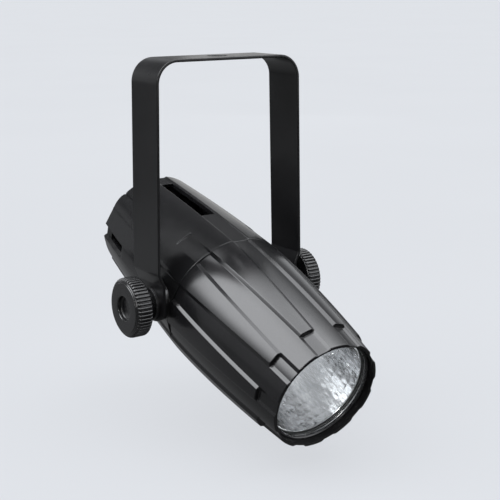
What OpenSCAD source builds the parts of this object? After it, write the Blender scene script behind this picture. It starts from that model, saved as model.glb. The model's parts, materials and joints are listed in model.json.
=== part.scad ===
// Compact narrow-beam stage spotlight: fluted two-piece lamp head hung in a
// U-shaped strap yoke and clamped by two knurled thumb knobs.
// Frame: millimetres, +Z up, the yoke spans X, the lamp shines toward -Y.
// Origin: centre of the hanging hole, at mid-thickness of the yoke strap.

/* [Yoke] */
// Width of the flat yoke strap
strap_w = 25; // [18:0.5:30]
// Thickness of the yoke strap
strap_t = 1.5; // [1:0.1:2]
// Outside width of the yoke across the top
yoke_w = 85; // [84:0.5:100]
// Distance from the hanging hole down to the tilt axis
pivot_drop = 121.95; // [115:0.1:160]
// Outside radius of the two top bends
bend_r = 12; // [6:0.5:18]
// Diameter of the hanging hole
hang_d = 10.5; // [8.5:0.1:12.5]

/* [Head] */
// Downward tilt of the lamp head at rest, in degrees
tilt = 18.65; // [0:0.05:40]
// Distance from the tilt axis to the front rim
front_s = 96.2; // [95:0.1:98]
// Distance from the tilt axis to the rear rim
rear_s = 75.8; // [75.4:0.1:77]
// Distance from the tilt axis to the seam between barrel and housing
split_s = 9.5; // [9:0.1:10.5]
// Largest radius of the recessed lands
land_max = 35.75; // [35.5:0.05:36.2]
// Height of the raised flutes at the seam
flute_h = 1.0; // [0.6:0.1:1.4]
// Number of flutes around the barrel
flute_count = 10; // [10:1:10]
// Half width of a flute at the seam
flute_seam_w = 7.0; // [5:0.1:8]
// Half width of a flute at its front step
flute_step_w = 3.5; // [2.5:0.1:4]
// Position of the step that ends each flute
flute_step_s = 83; // [81:0.5:85]

/* [Optics] */
// Visible radius of the lens
lens_view_r = 26.3; // [25.5:0.1:26.6]
// Focal length of the reflector bowl
focal = 3.6; // [3.4:0.05:3.8]

/* [Knobs] */
// Knob radius over the knurl
knob_r = 15.3; // [12:0.1:17]
// Thickness of the knurled rim
knob_t = 9.2; // [6:0.1:10]
// Number of knurl ridges
knurl_count = 48; // [36:2:72]
// Radius of the threaded stud
stud_r = 4.0; // [3.9:0.01:4.02]
// Radius of the pivot journal on each brass bush
journal_r = 6.0; // [5.9:0.01:6.03]

/* [Hidden] */
$fn = 96;

steel = [0.70, 0.70, 0.72];
body_black = [0.07, 0.07, 0.08];
knob_black = [0.06, 0.06, 0.07];

// Stack along the tilt axis: distances from the centre plane
bush_in = 34.2;                      // inner face of the brass bushes
stud_in = 35;                        // inner end of the studs
boss_x = 38.8;                       // outer face of the pivot bosses
arm_in = boss_x + 1.2;               // inner face of the yoke arm pads
arm_out = arm_in + strap_t;          // outer face of the yoke arm pads
hub_in = arm_out + 1.5;              // outer face of the knob washers
knob_in = 48.35;                     // inner face of the knurled rim
knob_out = knob_in + knob_t;         // outer face of the knob
stud_out = 52;                       // outer end of the studs
bush_r = 7;                          // radius of the bush bodies

// Screws
screw_r = 1.3;                       // thread of the housing screws
screw_hole_r = 1.7;                  // clearance hole
screw_head_r = 2.75;
screw_head_h = 1.9;
small_screw_r = 1.2;                 // thread of the board, tray and LED screws
small_head_r = 2.2;
small_head_h = 1.5;

// Positions "s" run along the lamp axis from rear to front, 0 at the tilt axis.
widest_s = 12;                       // where the lands are widest
flute_pitch = 360/flute_count;

// Radius of the recessed lands.
function land_r(s) = s >= widest_s ? land_max - 0.00343*pow(s - widest_s, 1.7)
                                   : land_max - 0.0054*pow(widest_s - s, 1.6);
// Radius of the flute tops and of the rear panels.
function top_r(s) = land_r(s) + flute_h + 0.002*max(0, s - widest_s);
// Evenly spaced stations, both ends included.
function stations(first, last, steps) = [for (i = [0:steps]) first + (last - first)*i/steps];

// ------------------------------------------------------------- helpers
module at_pivot() translate([0, 0, -pivot_drop]) children();

// Places its children, drawn along +Z with +Y up, on the tilted lamp axis.
module on_axis() at_pivot() rotate([90 + tilt, 0, 0]) children();

// Repeats its children at angles turned from +Y toward +X, at a radius.
module around(angles, radius = 0)
  for (angle = angles) rotate([0, 0, -angle]) translate([0, radius, 0]) children();

module at_seam_screws() around([30, 150, 270], 27.6) children();
module at_sink_screws() around([90, 210, 330], 27.3) children();
module at_cover_screws() around([45:90:315], 23.2) children();

// Turn +Z to +Y (upright) or to -Y (hanging) at a point of the lamp axis frame.
module upright(x, y, s) translate([x, y, s]) rotate([-90, 0, 0]) children();
module hanging(x, y, s) translate([x, y, s]) rotate([90, 0, 0]) children();

// Revolves a closed outline of [radius, s] points, given as two runs.
module ring(run, return_run) rotate_extrude() polygon(concat(run, return_run));

module tube(outer_r, inner_r, start, end) translate([0, 0, start]) difference() {
  cylinder(r = outer_r, h = end - start);
  translate([0, 0, -1]) cylinder(r = inner_r, h = end - start + 2);
}

// Rod along Z.
module rod(radius, start, end, facets = 48)
  translate([0, 0, start]) cylinder(r = radius, h = end - start, $fn = facets);

// Rod along X, its two ends given in either order.
module xrod(radius, x1, x2, facets = 96) translate([min(x1, x2), 0, 0]) rotate([0, 90, 0])
  cylinder(r = radius, h = abs(x2 - x1), $fn = facets);

// Radial prism whose half width tapers from rear to front, used to cut flutes.
module prism(angle, rear_w, rear, front_w, front, inner_r = 20, outer_r = 50)
  around([angle], outer_r) rotate([90, 0, 0]) linear_extrude(outer_r - inner_r)
    polygon([[-rear_w, rear], [rear_w, rear], [front_w, front], [-front_w, front]]);

// Round wire through a list of points.
module wire(points, radius) {
  for (i = [0:len(points) - 2]) {
    span = points[i + 1] - points[i];
    translate(points[i]) rotate([0, acos(span[2]/norm(span)), atan2(span[1], span[0])])
      cylinder(r = radius, h = norm(span), $fn = 32);
  }
  for (i = [1:len(points) - 2]) translate(points[i]) sphere(r = radius*1.08, $fn = 32);
}

// Cross-slotted screw that points along +Z from the seat of its head at the origin.
module pan_screw(radius, length, head_r, head_h) {
  translate([0, 0, -head_h]) difference() {
    cylinder(r = head_r, h = head_h, $fn = 48);
    for (angle = [0, 90]) rotate([0, 0, angle])
      translate([-head_r*0.55, -0.3, -1]) cube([head_r*1.1, 0.6, 1.7]);
  }
  cylinder(r = radius, h = length, $fn = 32);
}

// ---------------------------------------------------------------- yoke
lean_in = 42.7;                      // inner face of the arms where they lean out most
jog_top = 17.5;                      // height above the tilt axis where the arms step inward
pad_top = 11.5;                      // height above the tilt axis where the arm pads start
// drop of the outer bend lines that keeps the stepped strap at one thickness
jog_drop = strap_t*tan(atan((lean_in - arm_in)/(jog_top - pad_top))/2);
end_drop = 9;                        // depth of the arm ends below the tilt axis
end_r = 21;                          // radius of the arc that ends each arm
bend_x = yoke_w/2 - bend_r;          // centre of a top bend, x
bend_z = strap_t/2 - bend_r;         // centre of a top bend, z

module top_bend() intersection() {
  translate([bend_x, bend_z]) difference() {
    circle(r = bend_r, $fn = 96);
    circle(r = bend_r - strap_t, $fn = 96);
  }
  union() {
    translate([bend_x, bend_z]) square([bend_r + 1, bend_r + 1]);
    // sliver that laps the bend onto the arm
    translate([bend_x + 4, bend_z - 0.3]) square([bend_r, 0.4]);
  }
}

// Leaning arm, its step inward, then the upright pad down to the tilt axis.
module arm_profile() polygon([
  [bend_x + bend_r - strap_t, bend_z],
  [bend_x + bend_r, bend_z],
  [lean_in + strap_t, jog_top - jog_drop - pivot_drop],
  [arm_out, pad_top - jog_drop - pivot_drop],
  [arm_out, -pivot_drop],
  [arm_in, -pivot_drop],
  [arm_in, pad_top - pivot_drop],
  [lean_in, jog_top - pivot_drop]]);

module yoke_profile() {
  translate([-bend_x, -strap_t/2]) square([2*bend_x, strap_t]);
  for (flip = [0, 1]) mirror([flip, 0]) {
    top_bend();
    arm_profile();
  }
}

// Blunt arm ends with a shallow arc below the pivot.
module arm_ends() for (side = [-1, 1]) at_pivot() intersection() {
  translate([side < 0 ? -arm_out : arm_in, -strap_w/2, -end_drop - 1])
    cube([strap_t, strap_w, end_drop + 1.5]);
  translate([0, 0, end_r - end_drop]) xrod(end_r, side*(arm_in - 1), side*(arm_out + 1), 144);
}

module yoke() color([0.09, 0.09, 0.10]) difference() {
  union() {
    translate([0, strap_w/2, 0]) rotate([90, 0, 0]) linear_extrude(strap_w) yoke_profile();
    arm_ends();
  }
  translate([0, 0, -5]) cylinder(r = hang_d/2, h = 10, $fn = 64);
  at_pivot() xrod(journal_r + 0.06, -60, 60);
}

module knob_washers() color([0.10, 0.10, 0.11])
  for (side = [-1, 1]) at_pivot() difference() {
    xrod(8.5, side*arm_out, side*hub_in);
    xrod(stud_r + 0.3, side*(arm_out - 2), side*(hub_in + 2));
  }

// ------------------------------------------------- front barrel and optics
ledge_rear = 83.6;                   // rear face of the ledge behind the lens
ledge_front = 85.2;
gasket_s = 86;                       // rear face of the gasket, front of the reflector
lens_s = 87;                         // rear face of the lens
lens_front = 91;                     // front edge of the lens rim
lens_r = 27.2;
barrel_wall = 2.6;
reflector_rear = 43.9;
reflector_wall = 0.8;
bowl_apex = 44.1 - focal;            // apex of the parabola, its focus at 44.1

// Radius of the parabolic reflector bowl.
function bowl_r(s) = sqrt(4*focal*(s - bowl_apex));

// Bore of the barrel from front to rear: [radius, s].
barrel_bore = concat(
  [[27.6, front_s], [27.6, ledge_front], [26.4, ledge_front], [26.4, ledge_rear],
   [28.2, ledge_rear], [28.2, 78]],
  [for (s = [60, 40, 24]) [land_r(s) - barrel_wall, s]],
  [[33.0, 12], [31.0, 9], [31.0, 3], [33.0, 3], [33.0, split_s]]);

flute_angles = [for (i = [0:flute_count - 1]) flute_pitch*(i + 0.5)];

module flutes() intersection() {
  ring([for (s = stations(split_s, flute_step_s, 10)) [top_r(s), s]],
       [for (s = stations(flute_step_s, split_s, 6)) [land_r(s) - 1.5, s]]);
  union() for (angle = flute_angles)
    prism(angle, flute_seam_w + 0.05, split_s - 1, flute_step_w - 0.05, flute_step_s + 1);
}

// Shallow channels that run from the flute ends through the rim.
module rim_channels() around(flute_angles)
  rotate([90, 0, 90]) translate([0, 0, -flute_step_w - 0.15])
    linear_extrude(2*flute_step_w + 0.3)
      polygon([[29.96, flute_step_s - 0.05], [28.35, front_s + 0.6],
               [40, front_s + 0.6], [40, flute_step_s - 0.05]]);

module front_barrel() color(body_black) on_axis() difference() {
  union() {
    ring([for (s = stations(split_s, front_s, 12)) [land_r(s), s]], barrel_bore);
    flutes();
    // bosses for the screws that come from the housing, tied to the wall
    at_seam_screws() {
      rod(3.9, 2.2, 24);
      translate([-1, 1.4, 11]) cube([2, 4.6, 12.6]);
    }
    // bosses for the heat sink, tied to the wall
    at_sink_screws() {
      rod(3.2, sink_front + 0.1, 53);
      translate([-1, 1.2, 41]) cube([2, 4.4, 11]);
    }
  }
  rim_channels();
  at_seam_screws() rod(screw_r, 1, 21, 32);
  at_sink_screws() rod(screw_r, 39, 51, 32);
}

// Flat-backed lens with a domed front inside its rim.
module lens() color([0.85, 0.90, 0.95, 0.5]) on_axis() {
  dome_r = lens_view_r - 0.2;
  dome_h = 1.2;
  ring([[0, lens_s], [lens_r, lens_s], [lens_r, lens_front], [dome_r, lens_front]],
       [for (i = [1:8]) let (r = dome_r*(1 - i/8))
         [r, lens_front + dome_h*(1 - pow(r/dome_r, 2))]]);
}

module lens_ring() color([0.12, 0.12, 0.13]) on_axis()
  tube(27.45, lens_view_r, lens_front, lens_front + 1.6);

module lens_gasket() color([0.15, 0.15, 0.15]) on_axis() tube(lens_r, 26.0, gasket_s, lens_s);

module reflector() color([0.82, 0.83, 0.85]) on_axis()
  ring([for (s = stations(reflector_rear, gasket_s, 17)) [bowl_r(s), s]],
    concat([[27.3, gasket_s], [27.3, ledge_front]],
      [for (s = stations(ledge_front, reflector_rear, 16)) [bowl_r(s) + reflector_wall, s]]));

// ------------------------------------------------------------ light unit
sink_rear = 36;                      // rear face of the heat sink plate
sink_front = 40;
pad_front = sink_front + 0.3;
led_board_front = pad_front + 1.6;
holder_front = 43.85;
led_lead_x = 17.5;                   // where the LED leads pass the heat sink

module at_led_screws() for (side = [-1, 1]) translate([0, 12*side, 0]) children();

module led_holder() color([0.92, 0.92, 0.90]) on_axis() difference() {
  intersection() {
    rod(14.6, led_board_front, holder_front, 96);
    translate([-11.4, -20, 40]) cube([22.8, 40, 6]);
  }
  rod(4.3, 41, 45);
  at_led_screws() rod(1.4, 41, 45, 32);
}

module led_emitter() color([0.95, 0.90, 0.55]) on_axis() {
  translate([-2.6, -2.6, led_board_front]) cube([5.2, 5.2, 1.0]);
  intersection() {
    translate([0, 0, 42.1]) sphere(r = 2.1, $fn = 48);
    translate([-3, -3, 42.8]) cube([6, 6, 3]);
  }
}

module led_board() color([0.90, 0.91, 0.90]) on_axis() difference() {
  rod(15, pad_front, led_board_front, 96);
  at_led_screws() rod(1.4, 40, 43, 32);
}

module thermal_pad() color([0.55, 0.62, 0.70]) on_axis() difference() {
  rod(14.4, sink_front, pad_front, 96);
  at_led_screws() rod(1.6, 39, 41, 32);
}

module led_screws() color(steel) on_axis() at_led_screws()
  translate([0, 0, holder_front]) rotate([180, 0, 0])
    pan_screw(small_screw_r, 9, 2.1, small_head_h);

// Round plate with a core and nine fins on its rear face.
module heat_sink() color([0.62, 0.63, 0.65]) on_axis() difference() {
  fin_reach = 23.2;
  union() {
    rod(30.4, sink_rear, sink_front, 128);
    for (i = [-4:4]) let (x = 5*i, half = sqrt(fin_reach*fin_reach - x*x))
      translate([x - 0.8, -half, 8]) cube([1.6, 2*half, 29]);
    rod(8, 20, 37);
  }
  at_sink_screws() rod(screw_hole_r, 35, 41, 32);
  at_led_screws() rod(small_screw_r, 33, 41, 32);
  for (side = [-1, 1]) translate([led_lead_x*side, 0, 0]) rod(1.5, 35, 41, 32);
}

module heat_sink_screws() color(steel) on_axis() at_sink_screws()
  translate([0, 0, sink_rear]) pan_screw(screw_r, 13, screw_head_r, screw_head_h);

// --------------------------------------------------------- rear housing
housing_front = split_s - 0.1;
pocket_s = -71.8;                    // seat of the rear cover
cover_s = pocket_s - 2.4;            // outer face of the rear cover
cut_s = -80;                         // start of cuts made from behind the tail
side_deep = 1.9;                     // depth of the side channels
tray_y = -14;                        // underside of the driver tray
rail_x = 14;                         // rails and their tray screws, either side
rail_y = -28.6;                      // underside of the rails
tray_screw_s = -34;

function cavity_r(s) = land_r(s) - 2;

// Pockets between the flutes: [angle, side that is deepest].
wedge_pockets = [
  [36, -1], [72, -1], [108, 1], [144, 1],
  [216, -1], [252, -1], [288, 1], [324, 1]];

module housing_shell()
  ring([for (s = stations(-rear_s, housing_front, 14)) [top_r(s), s]],
    concat(
      [[33.25, housing_front], [33.25, 2], [24, 2], [24, -1], [cavity_r(-1), -1]],
      [for (s = stations(-2.4, pocket_s, 8)) [cavity_r(s), s]],
      [[27.25, pocket_s], [27.25, -rear_s]]));

// Pivot bosses, kept behind the seam except for their outer ends.
module pivot_bosses() for (side = [-1, 1]) intersection() {
  xrod(9, side*34, side*boss_x);
  union() {
    translate([-50, -20, -20]) cube([100, 40, 20 + housing_front]);
    translate([side*47.3 - 10, -20, -20]) cube([20, 40, 40]);
  }
}

// Full length channels on the top and the underside, with vent slots.
module long_channels() for (angle = [0, 180]) {
  rear = -rear_s - 1;
  front = split_s + 1;
  intersection() {
    ring([for (s = stations(rear, front, 14)) [50, s]],
         [for (s = stations(front, rear, 14)) [land_r(s), s]]);
    prism(angle, 4.15, rear, 4.95, front);
  }
  prism(angle, 3.9, -66, 4.3, -22.3, 24);
}

// Short channels on the two sides at the tail, with vent slots.
module side_channels() for (angle = [90, 270]) {
  rear = -rear_s - 1;
  intersection() {
    ring([for (s = stations(rear, -50, 6)) [50, s]],
         [for (s = stations(-50, rear, 6)) [top_r(s) - side_deep, s]]);
    prism(angle, 3.2, rear, 3.4, -51);
  }
  prism(angle, 2.6, -69, 2.8, -53, 24);
}

// Wedges that carry the channels between the flutes past the seam, deepest
// on the side toward the top or the underside.
module wedge_cuts() for (pocket = wedge_pockets)
  around([pocket[0]]) translate([0, 36, split_s]) rotate([-2.6, 0, 0])
    rotate([0, 0, -7.2*pocket[1]]) translate([-4.1, 0, -20.6]) cube([8.2, 6, 26]);

module rear_housing() color(body_black) on_axis() difference() {
  union() {
    housing_shell();
    // bosses for the rear cover, tied to the wall
    at_cover_screws() {
      rod(3.2, pocket_s, -62);
      translate([-1, 1.3, pocket_s]) cube([2, 4.2, -62 - pocket_s]);
    }
    // lips beside the side channels at the tail
    around([82.9, 97.1, 262.9, 277.1])
      translate([-0.55, 28, -rear_s]) cube([1.1, 2.6, 9]);
    // rails under the driver tray
    for (side = [-1, 1]) translate([side*rail_x - 2, rail_y, -56])
      cube([4, tray_y - rail_y, 44]);
    pivot_bosses();
  }
  long_channels();
  side_channels();
  wedge_cuts();
  at_cover_screws() rod(screw_r, pocket_s - 1, -64, 32);
  at_seam_screws() rod(screw_hole_r, -2, 3, 32);
  for (side = [-1, 1]) {
    hanging(side*rail_x, 0, tray_screw_s) rod(small_screw_r, 12, 22, 32);
    xrod(bush_r, side*bush_in, side*50);
  }
}

module housing_screws() color(steel) on_axis() at_seam_screws()
  translate([0, 0, -1]) pan_screw(screw_r, 19, screw_head_r, screw_head_h);

module rear_cover() color([0.10, 0.10, 0.11]) on_axis() difference() {
  union() {
    rod(27.05, cover_s, pocket_s, 128);
    tube(26.2, 24.9, pocket_s - 3.2, pocket_s - 2);
  }
  // opening for the power inlet
  translate([-13.7, -10, cut_s]) cube([27.4, 20, 12]);
  at_cover_screws() {
    rod(screw_hole_r, cut_s, -65, 32);
    rod(3.1, cut_s, cover_s);
  }
  // two slots on each side of the opening, the outer ones shorter
  for (side = [-1, 1], i = [0:1]) {
    translate([side*(18.4 + 3*i), 0, cut_s + 6]) cube([1.4, 14 - 3*i, 12], center = true);
    translate([0, side*(14.6 + 3*i), cut_s + 6]) cube([18 - 3*i, 1.4, 12], center = true);
  }
}

module rear_cover_screws() color(steel) on_axis() at_cover_screws()
  translate([0, 0, cover_s]) pan_screw(screw_r, 9.5, screw_head_r, 1.6);

// ------------------------------------------------------------ electronics
tray_top = tray_y + 2;
post_h = 3;
board_y = tray_top + post_h;         // underside of the circuit board
board_t = 1.6;
top_y = board_y + board_t;           // component side of the board
terminal_x = [-14.8, -9.7];          // the two wire entries of the terminal block
terminal_y = top_y + 3;
pin_x = [-7, 0, 7];

function pin_y(x) = x == 0 ? 3 : -2;

module at_posts(y) for (x = [-18, 18], s = [-44, -15]) translate([x, y, s]) children();

module driver_tray() color([0.20, 0.20, 0.22]) on_axis() difference() {
  union() {
    translate([-22.5, tray_y, -57]) cube([45, tray_top - tray_y, 46]);
    at_posts(tray_top) rotate([-90, 0, 0]) rod(3, 0, post_h);
  }
  at_posts(tray_y - 1) rotate([-90, 0, 0]) rod(small_screw_r, 0, 8, 32);
  for (side = [-1, 1]) upright(side*rail_x, tray_y - 1, tray_screw_s) rod(1.6, 0, 4);
}

module tray_screws() color(steel) on_axis()
  for (side = [-1, 1]) hanging(side*rail_x, tray_top, tray_screw_s)
    pan_screw(small_screw_r, 9, small_head_r, small_head_h);

module driver_board() color([0.10, 0.35, 0.18]) on_axis() difference() {
  translate([-21.5, board_y, -47.5]) cube([43, board_t, 36]);
  at_posts(board_y - 1) rotate([-90, 0, 0]) rod(1.5, 0, 4, 32);
}

module board_screws() color(steel) on_axis() at_posts(top_y) rotate([90, 0, 0])
  pan_screw(small_screw_r, 6, small_head_r, small_head_h);

module driver_transformer() color([0.85, 0.75, 0.25]) on_axis() {
  for (s = [-37, -24]) translate([-6, top_y, s]) cube([15, 12, 4]);
  translate([-4, top_y + 1, -33.5]) cube([11, 10, 10]);
}

module driver_choke() color([0.60, 0.30, 0.12]) on_axis()
  upright(-14, top_y, -26.2) tube(4, 1.6, 0, 6);

module driver_capacitors() color([0.12, 0.14, 0.30]) on_axis() {
  upright(15, top_y, -27) rod(4.5, 0, 14);
  upright(15, top_y, -37) rod(4.0, 0, 11);
}

module driver_chip() color([0.12, 0.12, 0.12]) on_axis() {
  translate([-16, top_y + 0.2, -20]) cube([5, 1.5, 4]);
  for (i = [0:3], s = [-21, -16]) translate([-15.5 + 1.2*i, top_y, s]) cube([0.4, 0.6, 1]);
}

module mains_terminal_block() color([0.25, 0.45, 0.25]) on_axis() difference() {
  translate([-17.5, top_y, -37.5]) cube([10.5, 8, 7]);
  for (x = terminal_x) {
    translate([x, terminal_y, -39]) rod(1.25, 0, 6, 32);
    hanging(x, top_y + 9, -34) rod(1.4, 0, 2, 32);
  }
}

module power_inlet() color([0.06, 0.06, 0.07]) on_axis() difference() {
  union() {
    translate([-15.4, -11.8, cover_s - 1.6]) cube([30.8, 23.6, 1.6]);
    translate([-13.5, -9.8, cover_s]) cube([27, 19.6, 20.4]);
  }
  // socket cavity with two clipped corners
  translate([0, 0, cut_s]) linear_extrude(22)
    polygon([[-12, -8], [12, -8], [12, 3.5], [7.5, 8], [-7.5, 8], [-12, 3.5]]);
  for (x = pin_x) translate([x - 1, pin_y(x) - 2, -60]) cube([2, 4, 8]);
}

module inlet_pins() color([0.80, 0.68, 0.35]) on_axis()
  for (x = pin_x) translate([x - 1, pin_y(x) - 2, -73]) cube([2, 4, 25]);

module mains_leads() color([0.45, 0.20, 0.12]) on_axis() {
  wire([[-7, 1.1, -49.5], [-7, 3.2, -46], [-9.7, -2.5, -42],
    [terminal_x[1], terminal_y, -39.5], [terminal_x[1], terminal_y, -33.6]], 1.0);
  wire([[7, 1.1, -49.5], [5, 4.5, -46.5], [-3, 5.2, -42.5], [-14.8, -1, -41],
    [terminal_x[0], terminal_y, -39.5], [terminal_x[0], terminal_y, -33.6]], 1.0);
}

module led_leads() color([0.70, 0.10, 0.08]) on_axis() for (side = [-1, 1])
  wire([[side*5, top_y + 1.0, -14], [side*8, -3, -8], [side*led_lead_x, 0, 4],
    [side*led_lead_x, 0, 42.9], [side*12.6, 0, 42.9]], 0.8);

// ------------------------------------------------------------ pivots, knobs
// Points of one knurl ridge: [fraction of the pitch, depth below knob_r].
knurl_ridge = [[0, 0], [0.28, 0], [0.5, 0.8], [0.78, 0.8]];

module pivot_bushes() color([0.80, 0.66, 0.34]) on_axis() for (side = [-1, 1]) difference() {
  union() {
    xrod(bush_r, side*bush_in, side*boss_x);
    xrod(journal_r, side*(boss_x - 1), side*(arm_out - 0.24));
  }
  xrod(stud_r + 0.05, side*33, side*50);
}

module friction_washers() color([0.05, 0.05, 0.05]) on_axis()
  for (side = [-1, 1]) difference() {
    xrod(8.6, side*boss_x, side*arm_in);
    xrod(journal_r + 0.1, side*(boss_x - 1), side*(arm_in + 1));
  }

module knurl() translate([0, 0, knob_in + 0.5]) linear_extrude(knob_t - 2.2)
  polygon([for (i = [0:knurl_count - 1], point = knurl_ridge)
    let (angle = 360*(i + point[0])/knurl_count, r = knob_r - point[1])
    [r*cos(angle), r*sin(angle)]]);

// Knurled thumb knob; side = 1 at +X, -1 at -X.
module knob(side) at_pivot() mirror([side < 0 ? 1 : 0, 0, 0]) rotate([0, 90, 0]) difference() {
  union() {
    rod(7.5, hub_in, knob_in + 1);
    // inner edge
    ring([[knob_r - 1.1, knob_in], [knob_r - 0.7, knob_in + 0.5], [knob_r - 0.7, knob_in + 0.8]],
      [[0, knob_in + 0.8], [0, knob_in]]);
    knurl();
    // rounded outer edge
    ring([[knob_r - 0.1, knob_out - 1.75], [knob_r - 1.1, knob_out - 0.9],
      [knob_r - 2.0, knob_out - 0.5], [knob_r - 2.9, knob_out]],
      [[0, knob_out], [0, knob_out - 1.75]]);
  }
  rod(stud_r, hub_in - 1, stud_out);
  rod(6.25, knob_out - 2.5, knob_out + 1);
}

module stud(side) at_pivot() xrod(stud_r, side*stud_in, side*stud_out);

module left_knob() color(knob_black) knob(-1);
module right_knob() color(knob_black) knob(1);
module left_stud() color(steel) stud(-1);
module right_stud() color(steel) stud(1);

yoke();
knob_washers();
front_barrel();
rear_housing();
rear_cover();
lens();
lens_ring();
lens_gasket();
reflector();
led_holder();
led_emitter();
led_board();
thermal_pad();
led_screws();
heat_sink();
heat_sink_screws();
housing_screws();
rear_cover_screws();
driver_tray();
tray_screws();
driver_board();
board_screws();
driver_transformer();
driver_choke();
driver_capacitors();
driver_chip();
mains_terminal_block();
power_inlet();
inlet_pins();
mains_leads();
led_leads();
pivot_bushes();
friction_washers();
left_knob();
left_stud();
right_knob();
right_stud();
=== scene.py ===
"""A spotlight head that tilts in a bent strap yoke.

The hanging hole in the middle of the strap is at the origin. The arms go down at -X (left)
and +X (right). The head tilts about the X axis through the tilt joint and faces -Y, tipped
down. Sizes are in mm. Head coordinates start at the joint: x to the right, n square to the
head's axis on its upper side, and along, which grows toward the front.
"""
import json
import math

import bmesh
import bpy
import numpy as np
from mathutils import Matrix, Vector
from mathutils.geometry import delaunay_2d_cdt


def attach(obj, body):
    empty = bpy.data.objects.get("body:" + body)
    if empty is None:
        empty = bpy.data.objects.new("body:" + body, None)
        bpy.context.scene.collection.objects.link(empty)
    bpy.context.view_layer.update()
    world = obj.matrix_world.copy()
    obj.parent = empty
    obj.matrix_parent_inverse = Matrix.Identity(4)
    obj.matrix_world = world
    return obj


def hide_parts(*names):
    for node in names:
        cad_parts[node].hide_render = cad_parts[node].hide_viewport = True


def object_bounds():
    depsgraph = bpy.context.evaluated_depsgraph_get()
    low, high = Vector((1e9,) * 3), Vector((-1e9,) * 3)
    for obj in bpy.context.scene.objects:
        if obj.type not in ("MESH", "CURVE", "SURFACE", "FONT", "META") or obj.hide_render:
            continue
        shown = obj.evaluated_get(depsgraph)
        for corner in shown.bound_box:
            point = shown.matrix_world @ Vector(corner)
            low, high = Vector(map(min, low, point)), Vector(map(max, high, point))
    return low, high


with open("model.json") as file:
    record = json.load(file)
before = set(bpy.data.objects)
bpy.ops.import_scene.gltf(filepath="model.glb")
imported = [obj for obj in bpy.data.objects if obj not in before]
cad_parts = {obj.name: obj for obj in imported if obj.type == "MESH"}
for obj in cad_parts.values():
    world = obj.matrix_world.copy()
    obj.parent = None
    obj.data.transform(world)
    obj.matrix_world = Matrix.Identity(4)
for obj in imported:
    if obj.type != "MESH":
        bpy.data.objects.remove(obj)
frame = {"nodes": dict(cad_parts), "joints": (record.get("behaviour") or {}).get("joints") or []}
cad_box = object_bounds()
MM = 0.001
TAU = 2 * math.pi
SIDES = ((-1, "left"), (1, "right"))

# ------------------------------------------------------------------ frame
PIVOT = np.array(Vector(next(j for j in frame["joints"] if j["name"] == "tilt")["pos_m"]))
TILT = math.radians(18.65)
AXIS_X = np.array([1.0, 0, 0])
AXIS_N = np.array([0, -math.sin(TILT), math.cos(TILT)])
AXIS_ALONG = np.array([0, -math.cos(TILT), -math.sin(TILT)])

# stations along the head
REAR_END = -75.8
SEAM = 9.5
RIB_END = 83.0
FRONT = 96.2

# parts on the tilt axis, as distances from the middle of the lamp
BOSS_X = 38.8
ARM_IN = 40.0
STRAP_T = 1.5
ARM_OUT = ARM_IN + STRAP_T
HUB_IN = 43.0


def head_points(x, n, along):
    """Head coordinates in mm to the row frame in metres."""
    x, n, along = (np.asarray(v, float)[..., None] for v in (x, n, along))
    return PIVOT + (x * AXIS_X + n * AXIS_N + along * AXIS_ALONG) * MM


def head_ring(angles, radius, along):
    """Points round the head's axis. Angle 0 is the top, a quarter turn is +X."""
    return head_points(radius * np.sin(angles), radius * np.cos(angles), along)


def side_points(x, y, z):
    """Coordinates in mm about the tilt axis, square to the row frame, in metres."""
    return PIVOT + np.stack(np.broadcast_arrays(x, y, z), -1) * MM


def clamp(t):
    return min(1.0, max(0.0, t))


def smooth(t):
    t = clamp(t)
    return t * t * (3 - 2 * t)


# ------------------------------------------------------------------ meshes
def make_mesh(name, verts, faces, material, weighted=True, merge=True):
    mesh = bpy.data.meshes.new(name)
    mesh.from_pydata([tuple(v) for v in verts], [], faces)
    mesh.update()
    bm = bmesh.new()
    bm.from_mesh(mesh)
    if merge:
        bmesh.ops.remove_doubles(bm, verts=bm.verts, dist=2e-7)
    bmesh.ops.recalc_face_normals(bm, faces=bm.faces)
    bm.to_mesh(mesh)
    bm.free()
    for polygon in mesh.polygons:
        polygon.use_smooth = True
    ob = bpy.data.objects.new(name, mesh)
    bpy.context.scene.collection.objects.link(ob)
    if weighted:
        modifier = ob.modifiers.new("normals", "WEIGHTED_NORMAL")
        modifier.keep_sharp = True
        modifier.weight = 60
    mesh.materials.append(MATERIALS[material])
    return ob


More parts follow.
